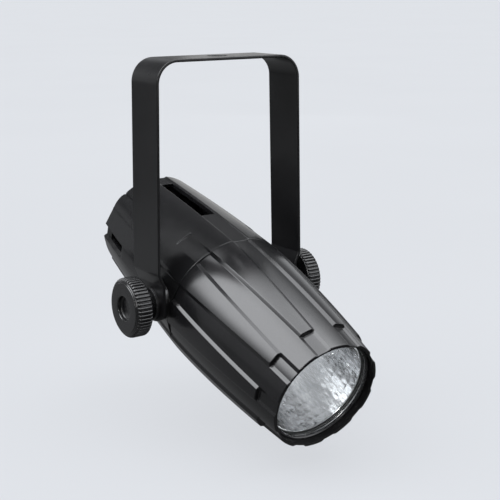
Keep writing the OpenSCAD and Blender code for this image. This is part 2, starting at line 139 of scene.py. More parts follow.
class Shells:
    """Collects the shells of one piece."""

    def __init__(self):
        self.verts, self.faces = [], []

    def add(self, verts, faces):
        base = len(self.verts)
        self.verts += [tuple(p) for p in verts]
        self.faces += [tuple(i + base for i in face) for face in faces]

    def grid(self, rows, wrap=False, skip=None):
        """Quads between closed rows, an array (rows, columns, 3). wrap joins last to first."""
        row_count, columns, _ = rows.shape
        faces = []
        for j in range(row_count if wrap else row_count - 1):
            j2 = (j + 1) % row_count
            for k in range(columns):
                if skip is not None and skip(j, k):
                    continue
                k2 = (k + 1) % columns
                faces.append((j * columns + k, j * columns + k2,
                              j2 * columns + k2, j2 * columns + k))
        self.add(rows.reshape(-1, 3), faces)

    def lathe(self, profile, place, segments=96, wrap=True):
        """Turns (radius, height) points. place(x, y, height) maps them to the frame.
        An open profile is capped at both ends."""
        angles = np.arange(segments) * TAU / segments
        base = len(self.verts)
        rows = [place(r * np.sin(angles), r * np.cos(angles), h) for r, h in profile]
        self.grid(np.array(rows), wrap)
        if not wrap:
            last = base + (len(profile) - 1) * segments
            self.faces.append(tuple(range(base, base + segments))[::-1])
            self.faces.append(tuple(range(last, last + segments)))

    def box(self, place, low, high):
        """Plain box between two corners."""
        xs, ys, zs = zip(low, high)
        verts = [place(x, y, z) for x in xs for y in ys for z in zs]
        self.add(verts, [(0, 1, 3, 2), (4, 6, 7, 5), (0, 4, 5, 1),
                         (2, 3, 7, 6), (0, 2, 6, 4), (1, 5, 7, 3)])

    def boss(self, angle, centre_r, radius, span, rib_radii, rib_span):
        """Bored boss along the head, tied to the wall by a rib."""
        turn = math.radians(angle)
        sin, cos = math.sin(turn), math.cos(turn)
        cx, cy = centre_r * sin, centre_r * cos
        self.lathe(closed_fillet(tube(SCREW_BORE_R, radius, *span), 0.2, 2),
                   lambda x, y, h: head_points(x + cx, y + cy, h), 32)
        self.box(lambda x, y, h: head_points(x * cos + y * sin, -x * sin + y * cos, h),
                 (-1, rib_radii[0], rib_span[0]), (1, rib_radii[1], rib_span[1]))

    def make(self, name, material, **options):
        return make_mesh(name, self.verts, self.faces, material, **options)


SCREW_BORE_R = 1.3


def tube(inner, outer, start, end):
    """Closed (radius, height) profile of a plain tube."""
    return [(inner, start), (outer, start), (outer, end), (inner, end)]


def fillet(profile, radii, steps=4):
    """Rounds the inner corners of a profile. radii has one entry for each of its points."""
    out = [profile[0]]
    for i in range(1, len(profile) - 1):
        before, corner, after = (np.array(p, float) for p in profile[i - 1:i + 2])
        if not radii[i]:
            out.append(tuple(corner))
            continue
        u, v = before - corner, after - corner
        u_len, v_len = np.linalg.norm(u), np.linalg.norm(v)
        u, v = u / u_len, v / v_len
        half_angle = math.acos(float(u @ v)) / 2
        cut = min(radii[i] / math.tan(half_angle), 0.45 * u_len, 0.45 * v_len)
        p0, p1 = corner + u * cut, corner + v * cut
        for q in range(steps + 1):
            w = q / steps
            out.append(tuple((1 - w) ** 2 * p0 + 2 * w * (1 - w) * corner + w * w * p1))
    out.append(profile[-1])
    return out


def closed_fillet(profile, radii, steps=4):
    """Rounds a closed profile. radii is one radius or one per corner."""
    if not isinstance(radii, list):
        radii = [radii] * len(profile)
    return fillet([profile[-1], *profile, profile[0]], [0, *radii, 0], steps)[1:-1]


QUARTER = [math.radians(q) for q in (0, 22.5, 45, 67.5, 90)]


def round_rear(end, radius):
    """(station, inset) pairs that round the rear edge of a shell."""
    return [(end + radius * (1 - math.cos(t)), radius * (1 - math.sin(t))) for t in QUARTER]


def round_front(end, radius):
    """(station, inset) pairs that round the front edge of a shell."""
    return [(end - radius * (1 - math.sin(t)), radius * (1 - math.cos(t))) for t in QUARTER]


def register(ob, rides, replaces=None):
    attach(ob, rides)
    if replaces:
        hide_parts(replaces)


# ------------------------------------------------------------------ shader nodes
class Shader:
    """A node tree, with short calls for the nodes used here."""

    def __init__(self, tree):
        self.tree = tree

    def feed(self, node, inputs):
        """Links or sets sockets, given by name or index. Colours have three values."""
        for key, value in inputs.items():
            socket = node.inputs[key]
            if isinstance(value, bpy.types.NodeSocket):
                self.tree.links.new(value, socket)
            else:
                socket.default_value = (*value, 1.0) if socket.type == "RGBA" else value

    def node(self, kind, inputs=None, **settings):
        node = self.tree.nodes.new("ShaderNode" + kind)
        for key, value in settings.items():
            setattr(node, key, value)
        self.feed(node, inputs or {})
        return node

    def noise(self, coords, scale, detail=3.0, roughness=0.6, shift=0.0):
        if shift:
            location = (shift, shift * 1.7, -shift)
            coords = self.node("Mapping", {0: coords, "Location": location}).outputs[0]
        return self.node("TexNoise", {"Vector": coords, "Scale": scale, "Detail": detail,
                                      "Roughness": roughness}).outputs[0]

    def ramp(self, source, over, to=(0.0, 1.0)):
        """Smooth clamped step from one range to another."""
        return self.node("MapRange", {
            "Value": source, "From Min": over[0], "From Max": over[1],
            "To Min": to[0], "To Max": to[1],
        }, clamp=True, interpolation_type="SMOOTHSTEP").outputs["Result"]

    def math(self, operation, a, b):
        return self.node("Math", {0: a, 1: b}, operation=operation).outputs[0]

    def chain(self, operation, values):
        result = values[0]
        for value in values[1:]:
            result = self.math(operation, result, value)
        return result

    def total(self, *values):
        return self.chain("ADD", values)

    def product(self, *values):
        return self.chain("MULTIPLY", values)

    def vector_math(self, operation, inputs):
        return self.node("VectorMath", inputs, operation=operation)

    def dot(self, vector, direction):
        return self.vector_math("DOT_PRODUCT", {0: vector, 1: direction}).outputs["Value"]

    def split(self, vector):
        return self.node("SeparateXYZ", {0: vector}).outputs

    def mix_colour(self, share, a, b):
        return self.node("Mix", {0: share, 6: a, 7: b}, data_type="RGBA").outputs[2]

    def mix_value(self, share, a, b):
        return self.node("Mix", {0: share, 2: a, 3: b}, data_type="FLOAT").outputs[0]

    def mix_shader(self, share, a, b):
        return self.node("MixShader", {0: share, 1: a, 2: b}).outputs[0]

    def bump(self, height, strength, depth, normal=None):
        """depth is in mm."""
        inputs = {"Strength": strength, "Distance": depth * MM, "Height": height}
        if normal is not None:
            inputs["Normal"] = normal
        return self.node("Bump", inputs).outputs[0]

    def geometry(self, output):
        return self.node("NewGeometry").outputs[output]

    def coords(self, output="Object"):
        return self.node("TexCoord").outputs[output]


MATERIALS = {}


def new_material(name):
    """Makes a material and returns its shader, Principled node and output node."""
    material = bpy.data.materials.new(name)
    material.use_nodes = True
    material.node_tree.nodes.clear()
    MATERIALS[name] = material
    shader = Shader(material.node_tree)
    output = shader.node("OutputMaterial")
    bsdf = shader.node("BsdfPrincipled")
    shader.feed(output, {0: bsdf.outputs[0]})
    return shader, bsdf, output


# ------------------------------------------------------------------ materials
BORE_R = 0.02775  # metres round the head's axis; the shell is matt inside it
DUST_COLOUR = (0.45, 0.44, 0.42)


def surface(name, colour, rough, grain=1500.0, depth=0.02, metallic=0.0, relief=0.0,
            wear=(0.0, (0.2, 0.2, 0.2)), dust=0.0, drift=0.12, rough_drift=0.08,
            rough_fine=0.02, specular=0.5, coat=0.0, brushed=None, cells=False,
            matt_bore=False, groove_painted_shade=0.0):
    """Moulded, painted or metal surface.

    grain: grain cells per metre; depth and relief: bump heights of grain and waviness in mm
    wear: amount and colour of worn edges; dust: amount on faces that look up
    drift, rough_drift, rough_fine: slow change of colour and roughness, fine change of roughness
    brushed: noise scale on each axis; cells: cellular grain; cavity: painted shade in grooves,
    which lose their shine
    """
    shader, bsdf, _ = new_material(name)
    coords = shader.coords()
    ramp, product, total = shader.ramp, shader.product, shader.total
    broad = shader.noise(coords, scale=38.0, detail=4.0)
    fine = shader.noise(coords, scale=260.0, shift=0.3)
    base = shader.mix_colour(ramp(broad, over=(0.3, 0.7)), [c * (1 - drift) for c in colour],
                             [min(1, c * (1 + drift)) for c in colour])
    roughness = total(
        ramp(broad, over=(0.3, 0.72), to=(rough - rough_drift, rough + rough_drift)),
        ramp(fine, over=(0.3, 0.7), to=(-rough_fine, rough_fine)))
    wear_amount, wear_colour = wear
    if wear_amount > 0:
        edges = ramp(shader.geometry("Pointiness"), over=(0.53, 0.60))
        patches = shader.noise(coords, scale=420.0, detail=4.0, roughness=0.7, shift=1.1)
        worn = product(edges, ramp(patches, over=(0.42, 0.66)), wear_amount)
        base = shader.mix_colour(worn, base, wear_colour)
    if dust > 0:
        facing_up = ramp(shader.split(shader.geometry("Normal"))[2], over=(0.2, 1.0))
        patches = shader.noise(coords, scale=150.0, detail=6.0, roughness=0.75, shift=2.0)
        dusty = product(facing_up, ramp(patches, over=(0.42, 0.75)), dust)
        base = shader.mix_colour(dusty, base, DUST_COLOUR)
        roughness = total(roughness, product(dusty, 0.5))
    if matt_bore:
        # distance from the head's axis, by the cross product with its direction
        offset = shader.vector_math("SUBTRACT", {0: coords, 1: tuple(PIVOT)})
        cross = shader.vector_math("CROSS_PRODUCT", {0: offset.outputs[0], 1: tuple(AXIS_ALONG)})
        distance = shader.vector_math("LENGTH", {0: cross.outputs[0]}).outputs["Value"]
        inside = ramp(distance, over=(BORE_R, BORE_R + 0.0002), to=(1.0, 0.0))
        roughness = total(roughness, product(inside, 0.30))
        specular = shader.math("SUBTRACT", specular, product(inside, specular * 0.72))
    if groove_painted_shade > 0:
        # painted shade: the grooves lose their shine and get rougher
        groove_shade_mask = ramp(shader.geometry("Pointiness"), over=(0.40, 0.495), to=(1.0, 0.0))
        roughness = total(roughness, product(groove_shade_mask, 0.35))
        specular = product(shader.math("SUBTRACT", 1.0, product(groove_shade_mask, groove_painted_shade)), specular)
    if cells:
        height = shader.node("TexVoronoi", {"Scale": grain, "Smoothness": 1.0, "Vector": coords},
                             feature="SMOOTH_F1").outputs["Distance"]
    else:
        height = shader.noise(coords, scale=grain, shift=0.7)
    normal = shader.bump(height, strength=0.6, depth=depth)
    if relief > 0:
        waves = shader.noise(coords, scale=110.0, detail=2.0, roughness=0.5, shift=3.3)
        normal = shader.bump(waves, strength=0.5, depth=relief, normal=normal)
    if brushed is not None:
        stretched = shader.node("Mapping", {0: coords, "Scale": brushed}).outputs[0]
        lines = shader.noise(stretched, scale=1.0, detail=4.0, roughness=0.7)
        normal = shader.bump(lines, strength=0.35, depth=0.01, normal=normal)
    shader.feed(bsdf, {
        "Base Color": base, "Roughness": roughness, "Metallic": metallic,
        "Specular IOR Level": specular, "Coat Weight": coat, "Coat Roughness": 0.12,
        "Normal": normal})


# black mouldings and coatings
surface("shell_black", colour=(0.0055, 0.0055, 0.006), rough=0.21, grain=2600, depth=0.006,
        wear=(0.12, (0.05, 0.05, 0.055)), dust=0.006, rough_drift=0.008, rough_fine=0.008,
        matt_bore=True)
surface("yoke_powder_coat", colour=(0.0045, 0.0045, 0.005), rough=0.30, relief=0.02, cells=True,
        wear=(0.22, (0.07, 0.07, 0.07)), dust=0.005, drift=0.10, rough_drift=0.02,
        rough_fine=0.01)
# the knob's knurl grooves get painted shade from cavity
surface("knob_black", colour=(0.005, 0.005, 0.0055), rough=0.26, grain=2300, depth=0.010,
        wear=(0.15, (0.06, 0.06, 0.06)), dust=0.005, rough_drift=0.02, rough_fine=0.01,
        groove_painted_shade=0.85, specular=0.62)
surface("cover_black", colour=(0.020, 0.020, 0.022), rough=0.55, grain=1900, depth=0.030,
        cells=True, wear=(0.3, (0.08, 0.08, 0.08)), dust=0.04)
surface("ring_black", colour=(0.014, 0.014, 0.015), rough=0.25, grain=2600, depth=0.008,
        coat=0.3, wear=(0.4, (0.12, 0.12, 0.12)))
surface("inlet_black", colour=(0.014, 0.014, 0.015), rough=0.30, grain=2400, depth=0.010,
        wear=(0.3, (0.09, 0.09, 0.09)), dust=0.03)
surface("rubber_black", colour=(0.013, 0.013, 0.013), rough=0.72, depth=0.03, dust=0.10,
        specular=0.35)
surface("silicone_dark", colour=(0.03, 0.03, 0.03), rough=0.6, specular=0.4)
# metals
surface("washer_black_oxide", colour=(0.05, 0.05, 0.052), rough=0.42, metallic=0.8, grain=2200,
        depth=0.010, wear=(0.5, (0.35, 0.35, 0.36)), brushed=(60, 60, 3000))
surface("screw_zinc", colour=(0.52, 0.53, 0.55), rough=0.33, metallic=1.0, grain=1800,
        depth=0.010, wear=(0.25, (0.75, 0.75, 0.76)), drift=0.1, brushed=(900, 3000, 900))
surface("brass_turned", colour=(0.78, 0.57, 0.27), rough=0.30, metallic=1.0, grain=1700,
        depth=0.010, wear=(0.25, (0.9, 0.75, 0.45)), brushed=(2500, 200, 200))
surface("heat_sink_alloy", colour=(0.63, 0.64, 0.66), rough=0.45, metallic=1.0, grain=1300,
        wear=(0.2, (0.8, 0.8, 0.8)), drift=0.08, brushed=(120, 120, 2600))
# parts inside the head
surface("white_nylon", colour=(0.80, 0.80, 0.77), rough=0.5, grain=1600, depth=0.015, drift=0.04)
surface("white_solder_mask", colour=(0.84, 0.85, 0.83), rough=0.3, depth=0.006, drift=0.04)
surface("thermal_pad_grey", colour=(0.33, 0.38, 0.44), rough=0.8, grain=1600, depth=0.03,
        drift=0.1)
surface("tray_grey", colour=(0.08, 0.08, 0.085), rough=0.6, depth=0.03)
surface("board_green", colour=(0.015, 0.11, 0.045), rough=0.35, grain=1400, depth=0.010,
        drift=0.18, coat=0.3)
surface("winding_tape", colour=(0.66, 0.50, 0.08), rough=0.42, grain=700, depth=0.03, drift=0.15)
surface("enamelled_copper", colour=(0.62, 0.25, 0.10), rough=0.3, metallic=1.0, grain=900,
        depth=0.05, brushed=(200, 4000, 200))
surface("capacitor_sleeve", colour=(0.03, 0.045, 0.16), rough=0.35, grain=1100, depth=0.01,
        drift=0.1)
surface("chip_package", colour=(0.02, 0.02, 0.02), rough=0.6, grain=1900)
surface("terminal_nylon", colour=(0.05, 0.22, 0.08), rough=0.5, grain=1300)
surface("lead_brown", colour=(0.16, 0.055, 0.025), rough=0.42, grain=1200, depth=0.01)
surface("lead_red", colour=(0.42, 0.02, 0.015), rough=0.42, grain=1200, depth=0.01)


def reflector_material():
    shader, bsdf, _ = new_material("reflector_metallised")
    coords = shader.coords()
    haze = shader.noise(coords, scale=90.0, detail=4.0, roughness=0.65)
    grain = shader.noise(coords, scale=650.0)
    shader.feed(bsdf, {
        "Base Color": shader.mix_colour(shader.ramp(haze, over=(0.3, 0.7)),
                                        (0.80, 0.81, 0.82), (0.94, 0.94, 0.95)),
        "Roughness": shader.ramp(haze, over=(0.3, 0.75), to=(0.07, 0.16)),
        "Metallic": 1.0,
        "Normal": shader.bump(grain, strength=0.35, depth=0.016)})


def glass_material():
    """Smeared glass that lets shadow and diffuse rays straight through."""
    shader, bsdf, output = new_material("lens_glass")
    coords = shader.coords()
    smear = shader.noise(coords, scale=60.0, detail=5.0, roughness=0.7)
    waves = shader.noise(coords, scale=120.0)
    shader.feed(bsdf, {
        "Base Color": (0.97, 0.985, 0.99), "Transmission Weight": 1.0, "IOR": 1.47,
        "Roughness": shader.ramp(smear, over=(0.35, 0.8), to=(0.0, 0.05)),
        "Normal": shader.bump(waves, strength=0.25, depth=0.02)})
    rays = shader.node("LightPath").outputs
    clear = shader.node("BsdfTransparent", {0: (0.94, 0.96, 0.96)})
    straight = shader.math("MAXIMUM", rays["Is Shadow Ray"], rays["Is Diffuse Ray"])
    shader.feed(output, {0: shader.mix_shader(straight, bsdf.outputs[0], clear.outputs[0])})


def phosphor_material():
    shader, bsdf, _ = new_material("led_phosphor")
    speckle = shader.noise(shader.coords(), scale=900.0)
    shader.feed(bsdf, {
        "Base Color": shader.mix_colour(shader.ramp(speckle, over=(0.3, 0.7)),
                                        (0.85, 0.68, 0.16), (0.95, 0.80, 0.28)),
        "Roughness": 0.12, "Subsurface Weight": 0.2, "Coat Weight": 0.8})


reflector_material()
glass_material()
phosphor_material()

# ------------------------------------------------------------------ head outline
LAND_R = 35.75
RIB_HEIGHT = 1.0


def land_radius(along):
    """Radius between the ribs: fullest at 12 mm, curving in to both ends."""
    if along >= 12:
        return LAND_R - 0.00343 * (along - 12) ** 1.7
    if along >= SEAM:
        return LAND_R - 0.0054 * (12 - along) ** 1.6
    behind = SEAM - along
    return LAND_R - 0.023 - 0.045 * behind - 0.000425 * behind * behind


def rib_radius(along):
    return land_radius(along) + RIB_HEIGHT + 0.002 * max(0.0, along - 12)


def wall_height(d, half=0.80, corner=0.15):
    """1 below, 0 above: a straight slope from -half to half, its corners rounded over corner."""
    if d <= -half - corner:
        return 1.0
    if d < -half + corner:
        return 1.0 - (d + half + corner) ** 2 / (8 * half * corner)
    if d <= half - corner:
        return (half - d) / (2 * half)
    if d < half + corner:
        return (half + corner - d) ** 2 / (8 * half * corner)
    return 0.0


# ------------------------------------------------------------------ front barrel
RIBS = 10
RIB_PITCH = 360 // RIBS
RIB_HALF_REAR, RIB_HALF_FRONT = 7.0, 3.5
RIB_WALL = [-0.96, -0.88, -0.80, -0.72, -0.64, -0.40, 0.0, 0.40, 0.64, 0.72, 0.80, 0.88, 0.96]
BARREL_WALL_T = 2.6
MOUTH_R = 27.6
BARREL_STATIONS = [
    *np.linspace(SEAM + 1.2, 81.6, 34), 82.1, 82.4, 82.6, 82.72, 82.80, 82.88, 82.97, 83.06,
    83.14, 83.22, 83.34, 83.5, 83.8, 84.6, *np.linspace(86.0, FRONT - 1.4, 7), FRONT - 0.9]
# (radius, station) of the inside, from the mouth back to the spigot
BARREL_INSIDE = [
    *((MOUTH_R, along) for along in (95.2, 93.5, 92.65, 91.0, 88.5, 86.3, 86.05)),
    (MOUTH_R, 85.2), (26.6, 85.2), (26.45, 85.15), (26.4, 85.0), (26.4, 83.8), (26.45, 83.65),
    (26.6, 83.6), (28.1, 83.6), (28.2, 83.4), (28.2, 78.0),
    *((land_radius(along) - BARREL_WALL_T, along) for along in (70, 60, 50, 40, 32, 24)),
    (33.0, 12.2), (32.6, 11.6), (31.1, 9.2), (31.0, 8.8), (31.0, 3.3), (31.15, 3.05),
    (31.4, 3.0), (32.6, 3.0), (32.85, 3.05), (33.0, 3.3), (33.0, 9.3), (33.0, SEAM)]
# first of three angles, centre radius, boss radius, boss span, rib span
BARREL_BOSSES = (
    (30, 27.6, 3.9, (2.2, 24), (11.0, 23.6)),
    (90, 27.3, 3.2, (40.1, 53), (41.0, 52.0)))


def barrel_columns(along):
    """(angle, height) round the barrel; height is 1 on a rib and 0 on the land."""
    radius = land_radius(along)
    wall_end = RIB_WALL[-1]
    taper = clamp((along - SEAM) / (RIB_END - SEAM))
    half_width = RIB_HALF_REAR + (RIB_HALF_FRONT - RIB_HALF_REAR) * taper
    half = [((half_width - wall_end) * f / radius, 1.0) for f in (0.0, 0.25, 0.5, 0.75)]
    half += [((half_width + d) / radius, wall_height(d)) for d in RIB_WALL]
    foot, middle = (half_width + wall_end) / radius, math.radians(RIB_PITCH / 2)
    half += [(foot + (middle - foot) * f, 0.0) for f in (0.2, 0.45, 0.72, 1.0)]
    columns = []
    for i in range(RIBS):
        centre = math.radians(RIB_PITCH / 2 + RIB_PITCH * i)
        columns += [(centre - angle, height) for angle, height in reversed(half[1:-1])]
        columns += [(centre + angle, height) for angle, height in half]
    return columns


def barrel_radius(along, height):
    """Each rib turns into a channel below the land in front of RIB_END."""
    low, high = land_radius(along), rib_radius(along)
    floor_r = 29.96 - (max(along, RIB_END) - RIB_END) * 0.1183
    drop = smooth((along - (RIB_END - 0.28)) / 0.5)
    return low + height * ((high - low) * (1 - drop) - (low - floor_r) * drop)


def build_barrel():
    rows = []

    def outer_row(along, inset=0.0):
        angles, heights = np.array(barrel_columns(along)).T
        radii = np.array([barrel_radius(along, height) for height in heights]) - inset
        rows.append(head_ring(angles, radii, along))

    def inner_row(radius, along, columns_at):
        angles = np.array([angle for angle, _ in barrel_columns(columns_at)])
        rows.append(head_ring(angles, radius, along))

    for along, inset in round_rear(SEAM, 0.35):
        outer_row(along, inset)
    for along in BARREL_STATIONS:
        outer_row(along)
    for along, inset in round_front(FRONT, 0.45):
        outer_row(along, inset)
    rim = 0.28
    for q in (0, 30, 60, 90):
        t = math.radians(q)
        inner_row(MOUTH_R + rim * (1 - math.sin(t)), FRONT - rim * (1 - math.cos(t)), FRONT)
    for radius, along in BARREL_INSIDE:
        inner_row(radius, along, max(along, SEAM))
    shells = Shells()
    shells.grid(np.array(rows), wrap=True)
    for first, centre_r, radius, span, rib_span in BARREL_BOSSES:
        for angle in (first, first + 120, first + 240):
            shells.boss(angle, centre_r, radius, span, (centre_r + radius - 1.2, 32.4), rib_span)
    return shells.make("front_barrel_shell", "shell_black")


register(build_barrel(), "head", "front_barrel")

# ------------------------------------------------------------------ rear housing
HOUSING_FRONT = SEAM - 0.1
HOUSING_WALL_T = 2.0
COVER_POCKET = -71.8
POCKET_R = 27.25
SIDE_DEPTH = 1.9
SIDE_HALF = 3.25
SLOT_HALF_REAR, SLOT_HALF_FRONT = 4.15, 4.95
COLUMN_GAP = 2.4
CHANNEL_WALL = [-0.62, -0.52, -0.42, -0.30, -0.15, 0.0, 0.15, 0.30, 0.42, 0.52, 0.62]
# outline of the tail from the top round to the underside:
# angle in degrees, radius in mm, 1 for a flat panel up to the next point
TAIL = (
    (0, 29.9, 0), (39.2, 29.7, 0), (42.6, 29.5, 0), (47, 30.2, 0), (51, 30.4, 0),
    (57, 30.25, 0), (62.6, 29.75, 0), (83.3, 30.55, 1), (96.7, 30.5, 1), (107, 29.85, 0),
    (118, 29.75, 0), (128.6, 29.85, 0), (130.8, 30.6, 0), (140, 30.45, 0), (180, 29.9, 0))
# features round the housing: angle in degrees from the top, kind
HOUSING_FEATURES = (
    (0, "slot"), (36, "wedge"), (63, "ridge"), (72, "wedge"), (90, "side"), (108, "wedge"),
    (129.7, "ridge"), (144, "wedge"), (180, "slot"), (216, "wedge"), (230.3, "ridge"),
    (252, "wedge"), (270, "side"), (288, "wedge"), (297, "ridge"), (324, "wedge"))
# offset in mm, height
RIDGE_PROFILE = ((-0.48, 0), (-0.33, 0.25), (-0.2, 0.8), (0.0, 1.0), (0.2, 0.8), (0.33, 0.25),
                 (0.48, 0))
# stations between which the middle of a feature is open
OPEN_SPANS = {"slot": (-66.0, -22.3), "side": (-69.0, -53.0)}
HOUSING_STATIONS = [
    -74.6, -73.4, -72.0, -70.6, -69.5, -69.15, -69.0, -68.85, -68.0, -67.0, -66.4, -66.15,
    -66.0, -65.85, -65.2, *np.linspace(-63.5, -54.6, 5), -53.6, -53.15, -53.0, -52.85, -52.4,
    -51.9, -51.6, -51.4, -51.2, -51.0, -50.8, -50.6, -50.2, *np.linspace(-48.5, -24.4, 12),
    -23.2, -22.6, -22.45, -22.3, -22.15, -21.8, -21.0, -19.0, -17.3, -15.5, -14.0, -12.8,
    -12.2, -11.85, -11.65, -11.55, -11.45, -11.35, -11.25, -11.15, -11.05, -10.85, -10.4, -9.6,
    -8.6, -7.6, *np.linspace(-6.2, 8.0, 10)]
# (radius, station) of the socket for the barrel, and of the pocket for the rear cover
SOCKET = ((33.45, HOUSING_FRONT), (33.25, HOUSING_FRONT - 0.2), (33.25, 2.0), (24.2, 2.0),
          (24.0, 1.8), (24.0, -0.8), (24.2, -1.0), (land_radius(-1.0) - 2.2, -1.0))
POCKET = ((land_radius(COVER_POCKET) - 2.05, COVER_POCKET), (POCKET_R, COVER_POCKET),
          (POCKET_R, COVER_POCKET - 0.2), (POCKET_R, REAR_END + 0.25),
          (27.32, REAR_END + 0.07), (27.5, REAR_END))
# (radius, distance from the tilt joint) of the bored pivot bosses
PIVOT_BOSS = [(7.02, 33.6), (9.35, 33.6), (9.1, 37.4), (9.0, 38.2), (8.85, 38.6),
              (8.5, BOSS_X), (7.3, BOSS_X), (7.02, 38.6)]


def tail_radius(degrees):
    for (a0, r0, _), (a1, r1, flat) in zip(TAIL, TAIL[1:]):
        if degrees <= a1:
            if flat:
                u, v = math.radians(degrees - a0), math.radians(a1 - degrees)
                return r0 * r1 * math.sin(u + v) / (r0 * math.sin(u) + r1 * math.sin(v))
            return r0 + (r1 - r0) * (degrees - a0) / (a1 - a0)


def feature_columns(along):
    """(angle, kind, height) of the columns on the features; height is 1 mid feature."""
    radius = land_radius(along)
    widening = clamp((along - REAR_END) / (SEAM - REAR_END))
    slot_half = SLOT_HALF_REAR + (SLOT_HALF_FRONT - SLOT_HALF_REAR) * widening
    wall_end = CHANNEL_WALL[-1] / radius
    columns = []
    for degrees, kind in HOUSING_FEATURES:
        centre = math.radians(degrees)
        if kind == "ridge":
            columns += [(centre + d / radius, kind, height) for d, height in RIDGE_PROFILE]
            continue
        half = {"slot": slot_half / radius, "side": SIDE_HALF / radius,
                "wedge": math.radians(6.9 if degrees in (36, 324) else 6.4)}[kind]
        wall = [(d / radius, wall_height(d, 0.42, 0.18)) for d in CHANNEL_WALL]
        columns += [(centre - half - d, kind, height) for d, height in reversed(wall)]
        columns += [(centre + (half - wall_end) * f, kind, 1.0)
                    for f in (-0.66, -0.33, 0.0, 0.33, 0.66)]
        columns += [(centre + half + d, kind, height) for d, height in wall]
    return columns


def with_next(columns):
    """Pairs of neighbouring columns, all the way round."""
    angle, *rest = columns[0]
    return zip(columns, columns[1:] + [(angle + TAU, *rest)])


# plain columns added after each feature column, as many as the gap at mid length needs
FILL_COUNTS = [int((b[0] - a[0]) * 34.0 // COLUMN_GAP) if a[1] != b[1] else 0
               for a, b in with_next(feature_columns(-30.0))]


def housing_columns(along):
    out = []
    for (column, after), count in zip(with_next(feature_columns(along)), FILL_COUNTS):
        out.append(column)
        start, gap = column[0], after[0] - column[0]
        out += [(start + gap * q / (count + 1), "plain", 0.0) for q in range(1, count + 1)]
    return out


def housing_radius(along, angle, kind, height):
    low, high = land_radius(along), rib_radius(along)
    degrees = abs((math.degrees(angle) + 180) % 360 - 180)
    # panels at the tail fade into the round middle
    full = high + (1 - smooth((along + 62) / 36.0)) * (tail_radius(degrees) - 29.8)
    if kind == "ridge" and degrees <= 90:
        fade = smooth((along - REAR_END) / 4.0 + 0.6) * (1 - smooth((along + 6) / 10.0))
        return full + 0.24 * height * fade
    if kind == "slot":
        # a flat floor, square to the direction of the feature
        off_centre = math.radians((math.degrees(angle) + 90) % 180 - 90)
        return full - (high - low / math.cos(off_centre)) * height
    if kind == "side":
        return full - SIDE_DEPTH * height * (1 - smooth((along + 51.9) / 1.8))
    if kind == "wedge":
        # a wedge pocket, deepest on the side toward the top or the underside
        turn = degrees if degrees < 90 else 180 - degrees
        centre = 36.0 if turn < 54 else 72.0
        groove = 0.0
        if 38 < turn < 46:
            groove = 0.5 * 4 * height * (1 - height) * (1 - smooth((along + 66.5) / 6.0))
        across = 1.0 - 0.92 * clamp((turn - centre + 6.9) / 13.8)
        lengthwise = smooth((along + 11.6) / 0.5) * (0.86 - 0.16 * (along + 11.6) / 20.0)
        return full - (high - low) * height * across * lengthwise - groove
    return full


def add_slot_walls(shells, rows, cells, stations, inner_rows):
    """Joins the outer and inner borders of the open cells (row, column) of the grid."""
    columns = rows.shape[1]
    cache = {}

    def through(j, k):
        """Vertex indices through the wall, from outside to inside."""
        k %= columns
        if (j, k) not in cache:
            inner_j = inner_rows[stations[j]]
            outer, inner = rows[j, k], rows[inner_j, k]
            first = len(shells.verts)
            shells.verts += [tuple(outer + (inner - outer) * f) for f in (0.12, 0.5, 0.88)]
            cache[j, k] = [j * columns + k, first, first + 1, first + 2, inner_j * columns + k]
        return cache[j, k]

    for j, k in cells:
        for dj, dk, start, end in ((-1, 0, (j, k), (j, k + 1)), (1, 0, (j + 1, k), (j + 1, k + 1)),
                                   (0, -1, (j, k), (j + 1, k)), (0, 1, (j, k + 1), (j + 1, k + 1))):
            if (j + dj, (k + dk) % columns) in cells:
                continue
            a, b = through(*start), through(*end)
            shells.faces += [(a[q], b[q], b[q + 1], a[q + 1]) for q in range(4)]


def build_housing():
    rows, tags, stations = [], [], []

    def add_row(along, angles, radii, tag):
        rows.append(head_ring(angles, radii, along))
        tags.append(tag)
        stations.append(along)

    def outer_row(along, inset=0.0):
        columns = housing_columns(along)
        radii = np.array([housing_radius(along, *column) for column in columns]) - inset
        add_row(along, np.array([column[0] for column in columns]), radii, "outer")

    def inner_row(radius, along, tag="end"):
        angles = np.array([column[0] for column in housing_columns(along)])
        add_row(along, angles, radius, tag)

    for along, inset in round_rear(REAR_END, 0.55):
        outer_row(along, inset)
    for along in HOUSING_STATIONS:
        outer_row(along)
    for along, inset in round_front(HOUSING_FRONT, 0.35):
        outer_row(along, inset)
    for radius, along in SOCKET:
        inner_row(radius, along)
    inside = [along for along in HOUSING_STATIONS if -71.5 < along < -1.5]
    for along in [-1.2, *reversed(inside)]:
        inner_row(land_radius(along) - HOUSING_WALL_T, along, "inner")
    for radius, along in POCKET:
        inner_row(radius, along)
    rows = np.array(rows)
    row_count, column_count, _ = rows.shape
    spans = [OPEN_SPANS.get(a[1]) if a[1] == b[1] and min(a[2], b[2]) > 0.97 else None
             for a, b in with_next(housing_columns(-60.0))]

    def is_open(j, k):
        j2 = (j + 1) % row_count
        if not spans[k] or tags[j] != tags[j2] or tags[j] == "end":
            return False
        low, high = sorted((stations[j], stations[j2]))
        return spans[k][0] <= low and high <= spans[k][1]

    shells = Shells()
    shells.grid(rows, wrap=True, skip=is_open)
    cells = {(j, k) for j in range(row_count) for k in range(column_count)
             if tags[j] == "outer" and is_open(j, k)}
    inner_rows = {stations[j]: j for j in range(row_count) if tags[j] == "inner"}
    add_slot_walls(shells, rows, cells, stations, inner_rows)
    for side, _ in SIDES:
        shells.lathe(closed_fillet(PIVOT_BOSS, [0.1, 0.2, 0, 0, 0, 0, 0, 0], 2),
                     lambda x, y, h: side_points(side * h, x, y))
    span = (COVER_POCKET, -62)
    for angle in (45, 135, 225, 315):
        shells.boss(angle, 23.2, 3.2, span, (25.4, 27.6), span)
    # rails inside, below the axis
    for side, _ in SIDES:
        shells.box(head_points, (side * 14 - 2, -29.0, -56), (side * 14 + 2, -14, -12))
    return shells.make("rear_housing_shell", "shell_black")


